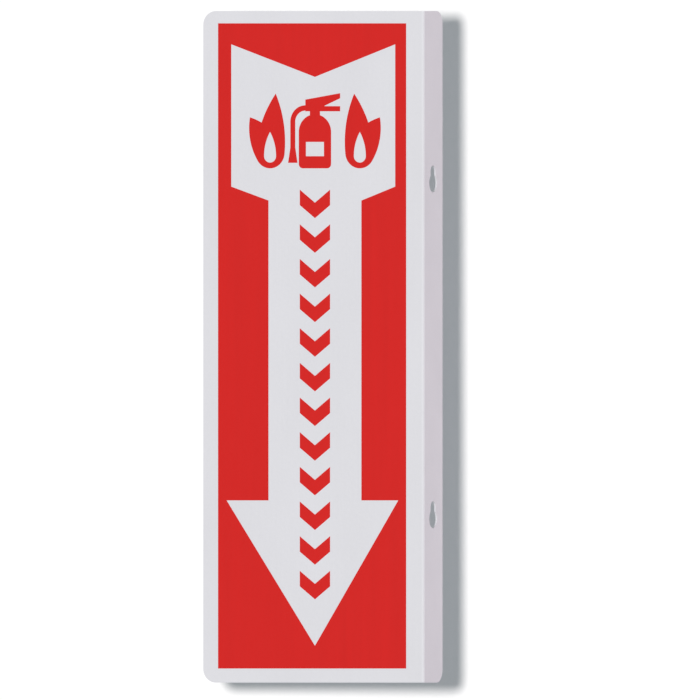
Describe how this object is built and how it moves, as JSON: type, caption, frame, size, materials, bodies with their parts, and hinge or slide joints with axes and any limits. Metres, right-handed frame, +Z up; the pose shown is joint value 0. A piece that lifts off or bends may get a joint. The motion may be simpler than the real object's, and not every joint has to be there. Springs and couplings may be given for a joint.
{
  "type": "fire extinguisher sign",
  "caption": "Right-angle wall sign: one thin white sheet folded to a narrow flange with keyholes, and a tall face printed red around a white arrow that points down.",
  "frame": {"origin": "on the wall side of the flange, halfway between the two keyholes and on their centre line", "axes": "+X out of the flange into the wall, -Y out of the printed face towards the reader, +Z up"},
  "size_m": [0.1096, 0.0209, 0.3048],
  "materials": {
    "white_sheet": "satin white plastic sheet, slightly cool",
    "red_ink": "solid signal-red screen ink, satin"
  },
  "bodies": {
    "root": {"sign_sheet": "white_sheet", "red_field": "red_ink", "red_symbol": "red_ink", "red_chevrons": "red_ink"}
  },
  "joints": []
}
